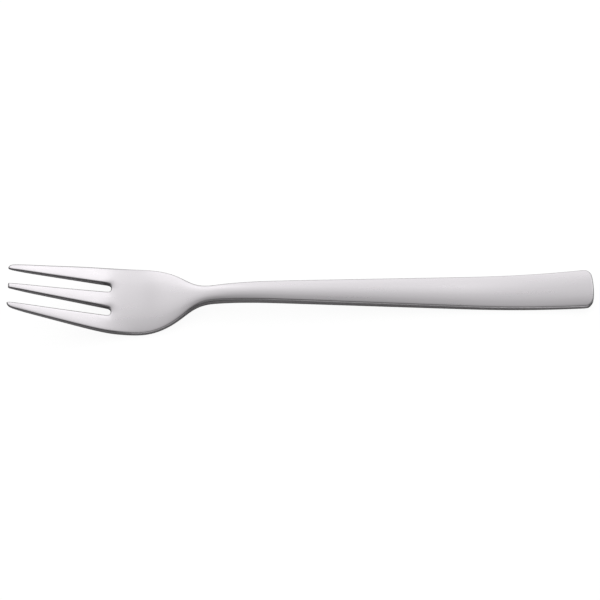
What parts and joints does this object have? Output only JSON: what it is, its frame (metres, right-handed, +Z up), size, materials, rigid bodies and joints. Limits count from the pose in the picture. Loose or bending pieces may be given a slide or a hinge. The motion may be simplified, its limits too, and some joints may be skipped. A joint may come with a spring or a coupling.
{
  "type": "pastry fork",
  "caption": "Slim steel pastry fork with long tapered tines, a shallow dished head, a narrow neck and a handle that widens to a squared end, for eating cakes and pastries.",
  "frame": {"origin": "on the table, under the middle of the fork's length and width", "axes": "+X along the fork from the tines to the handle's end, +Y across it, +Z up from the table"},
  "size_m": [0.15, 0.019, 0.0116],
  "materials": {
    "steel": "satin"
  },
  "bodies": {
    "root": {"fork_body": "steel"}
  },
  "joints": []
}
